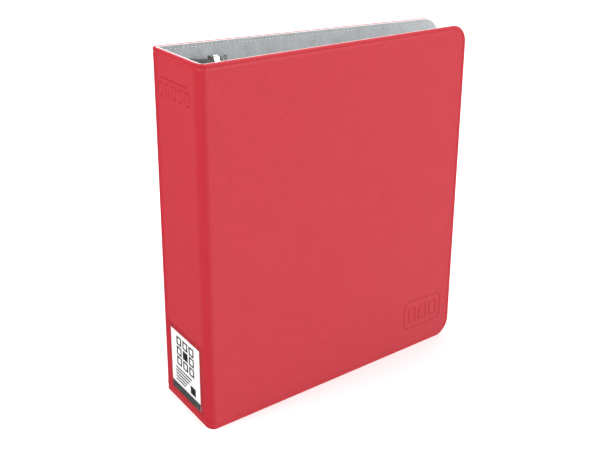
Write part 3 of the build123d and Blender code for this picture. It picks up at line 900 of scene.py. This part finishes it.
def label_card():
    """An index card: a pictogram of nine card pockets, ruled lines, a block and a dark band at its foot."""
    half_y, half_z = (card_high - card_low)[1] / 2, (card_high - card_low)[2] / 2
    ink = label_ink()
    band = (-half_y, half_y, -half_z, -half_z + 7.5)
    cuts_y = sorted({-half_y, half_y, *(n for r in ink for n in r[:2])})
    cuts_z = sorted({-half_z, half_z, band[3], *(n for r in ink for n in r[2:])})
    verts, faces, slots = [], [], []
    top, bottom = card_low[0], card_high[0]
    columns = len(cuts_z)
    for x in (top, bottom):
        verts += [(x, card_y - y, card_z + z) for y in cuts_y for z in cuts_z]
    base = len(cuts_y) * columns
    for i in range(len(cuts_y) - 1):
        for j in range(columns - 1):
            a, b = i * columns + j, (i + 1) * columns + j
            faces.append((a, b, b + 1, a + 1))
            middle_y, middle_z = (cuts_y[i] + cuts_y[i + 1]) / 2, (cuts_z[j] + cuts_z[j + 1]) / 2
            inked = any(r[0] < middle_y < r[1] and r[2] < middle_z < r[3] for r in ink)
            slots.append(2 if middle_z < band[3] else 1 if inked else 0)
            faces.append((base + a + 1, base + b + 1, base + b, base + a))
            slots.append(0)
    last = len(cuts_y) - 1
    rim = [(i, 0) for i in range(last + 1)] + [(last, j) for j in range(1, columns)]
    rim += [(i, columns - 1) for i in range(last - 1, -1, -1)] + [(0, j) for j in range(columns - 2, 0, -1)]
    flat = [i * columns + j for i, j in rim]
    for a, b in zip(flat, flat[1:] + flat[:1]):
        faces.append((b, a, base + a, base + b))
        slots.append(0)
    return new_object("index_card", verts, faces, [PAPER, INK, GREY_INK], slots)


def film_window():
    """A soft clear window that bulges a little over the card and is welded flat round its edge."""
    half_y, half_z = (film_high - film_low)[1] / 2, (film_high - film_low)[2] / 2
    weld_marks, weld_height, weld_middle, weld_width, sag = (0.6, 1.2, 2.0, 3.0), 0.10, 1.1, 0.45, 0.05

    def lines(half):
        """A grid's places across the film, closer together along its welds."""
        coarse = grid_lines(-half + FILM_ROLL, half - FILM_ROLL, 4, [])
        fine = [n - half for n in weld_marks]
        return np.array(sorted({*coarse, *fine, *(-n for n in fine)}))

    def away(u, v):
        return -rounded_distance(u, v, half_y, half_z, 0.01)

    def face(u, v):
        weld = weld_height * bell(away(u, v), weld_middle, weld_width)
        return film_low[0] - SPINE_X + 0.02 + weld - sag * smooth(2, 20, away(u, v))

    def back(u, v):
        return face(u, v) + FILM_THICKNESS

    def place(u, depth):
        return np.stack([SPINE_X + depth, label_y + u], -1)

    points, faces = slab(
        lines(half_y), lines(half_z), True, FILM_ROLL, 1.0, face, back, place, away, keep
    )[:2]
    points[:, 2] += label_z - HALF_HEIGHT
    return new_object("clear_window", points, faces, [FILM])


# ---------------------------------------------------------------- assembly
def fold_ends(side, depth):
    """Where a fold starts to bend and where it ends, in metres, for a piece at this depth that crosses it."""
    start, end = side.place(0, depth), side.place(side.fold, depth)
    return (*start * MM, HALF_HEIGHT * MM), (*end * MM, HALF_HEIGHT * MM)


leather, lining, thread = leather_pieces(), lining_pieces(), stitch_pieces()
card, film = label_card(), film_window()

LEATHER_MIDDLE, LINING_BEND = SKIN_BOTTOM / 2, WALL - 0.4  # the depths at which each layer's fold ends are found
for name, side in SIDES.items():
    crossing = ((leather[name], LEATHER_MIDDLE), (thread[name][0], LEATHER_MIDDLE))
    crossing += ((lining[name], LINING_BEND), (thread[name][1], LINING_BEND))
    for piece, depth in crossing:
        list(fold_ends(side, depth))
        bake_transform(piece)
for piece in (leather["spine"], lining["spine"], *thread["spine"], card, film):
    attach(piece, "spine")

for name in SIDES:
    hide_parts(f"{name}_skin", f"{name}_padding", f"{name}_fold_skin", f"{name}_fold_padding")
    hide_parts(f"{name}_lining", f"{name}_fold_lining")
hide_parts("spine_skin", "spine_padding")
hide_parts("spine_lining")
for name in thread:
    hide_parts(f"{name}_stitching")
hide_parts("label_card")
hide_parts("label_window")

# The CAD nodes that still show keep their shapes and get these finishes
SHINY = ("half_ring", "lever", "washers", "pins")
for name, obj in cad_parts.items():
    if name.endswith("_board"):
        finish = BOARD
    elif name == "cover_plate":
        finish = SHADED_PLATE_NICKEL
    elif name == "mounting_rivets":
        finish = RIVET_NICKEL
    elif any(word in name for word in SHINY):
        finish = NICKEL
    else:
        finish = STEEL if name.endswith("_blade") else FOAM
    for material_slot in obj.material_slots:
        material_slot.material = finish


# ---------------------------------------------------------------- camera, floor and light
def aim(obj, place, target, roll=0.0):
    """Points an object's -Z at a target, in metres, turned by roll about its line of sight."""
    back = (Vector(place) - Vector(target)).normalized()
    right = Vector((0, 0, 1)).cross(back).normalized()
    up = back.cross(right)
    side, top = right * cos(roll) + up * sin(roll), up * cos(roll) - right * sin(roll)
    turn = Matrix((side, top, back)).transposed().to_4x4()
    obj.matrix_world = Matrix.Translation(place) @ turn


def area_light(name, place, size, power):
    """A soft white square light that points at the object's middle."""
    data = bpy.data.lights.new(name, "AREA")
    data.shape, data.size, data.energy = "SQUARE", size, power
    obj = bpy.data.objects.new(name, data)
    bpy.context.scene.collection.objects.link(obj)
    aim(obj, place, LIT_POINT)


CAMERA_PLACE, CAMERA_TARGET = (-0.4756, -0.7081, 0.4716), (-0.02554, 0.00205, 0.15045)
CAMERA_ROLL, CAMERA_LENS = radians(0.464), 58.595
FLOOR_HALF = 6.0
LIT_POINT = (0, 0, 0.15)

scene = bpy.context.scene
camera_data = bpy.data.cameras.new("camera")
camera_data.lens, camera_data.sensor_width = CAMERA_LENS, 36.0
camera_data.clip_start, camera_data.clip_end = 0.01, 50
camera = bpy.data.objects.new("camera", camera_data)
scene.collection.objects.link(camera)
aim(camera, CAMERA_PLACE, CAMERA_TARGET, CAMERA_ROLL)
scene.camera = camera

floor_mesh = bpy.data.meshes.new("floor")
corners = [(x * FLOOR_HALF, y * FLOOR_HALF, 0) for x, y in ((-1, -1), (1, -1), (1, 1), (-1, 1))]
floor_mesh.from_pydata(corners, [], [(0, 1, 2, 3)])
floor = bpy.data.objects.new("floor", floor_mesh)
scene.collection.objects.link(floor)
floor_finish, _, floor_shader = material("white_floor")
floor_shader.inputs["Base Color"].default_value = colour(0.95, 0.95, 0.95)
floor_shader.inputs["Roughness"].default_value = 1.0
floor_shader.inputs["Specular IOR Level"].default_value = 0.0
floor_mesh.materials.append(floor_finish)
floor.visible_glossy = False

world = bpy.data.worlds.new("studio")
world.use_nodes = True
world.node_tree.nodes["Background"].inputs["Color"].default_value = colour(1, 1, 1)
world.node_tree.nodes["Background"].inputs["Strength"].default_value = 1.0
scene.world = world
scene.view_settings.view_transform = "Standard"


def dark_panel(name, azimuth, distance, width, height, tone):
    """A dark board beside the object that shows only in its gloss, as a black flag does in a studio. It faces
    the object, and reaches below the floor, which the gloss doesn't show."""
    mesh = bpy.data.meshes.new(name)
    half = width / 2
    outline = [(-half, 0, -height), (half, 0, -height), (half, 0, height), (-half, 0, height)]
    mesh.from_pydata(outline, [], [(0, 1, 2, 3)])
    obj = bpy.data.objects.new(name, mesh)
    scene.collection.objects.link(obj)
    angle = radians(azimuth)
    move = Matrix.Translation((distance * sin(angle), -distance * cos(angle), 0))
    obj.matrix_world = move @ Matrix.Rotation(angle, 4, "Z")
    finish, _, shader = material(name)
    shader.inputs["Base Color"].default_value = colour(tone, tone, tone)
    shader.inputs["Roughness"].default_value = 1.0
    mesh.materials.append(finish)
    obj.visible_camera = obj.visible_diffuse = obj.visible_shadow = obj.visible_transmission = False


area_light("key_right", (1.3, -1.7, 1.6), 1.4, 31)
area_light("fill_left", (-1.7, 0.0, 1.4), 1.4, 29)
area_light("back_fill", (0.6, 2.2, 1.5), 1.6, 26)
dark_panel("flag_front", -62, 0.6, 1.2, 0.9, 0.005)
dark_panel("flag_left", -142, 0.5, 0.9, 0.9, 0.05)
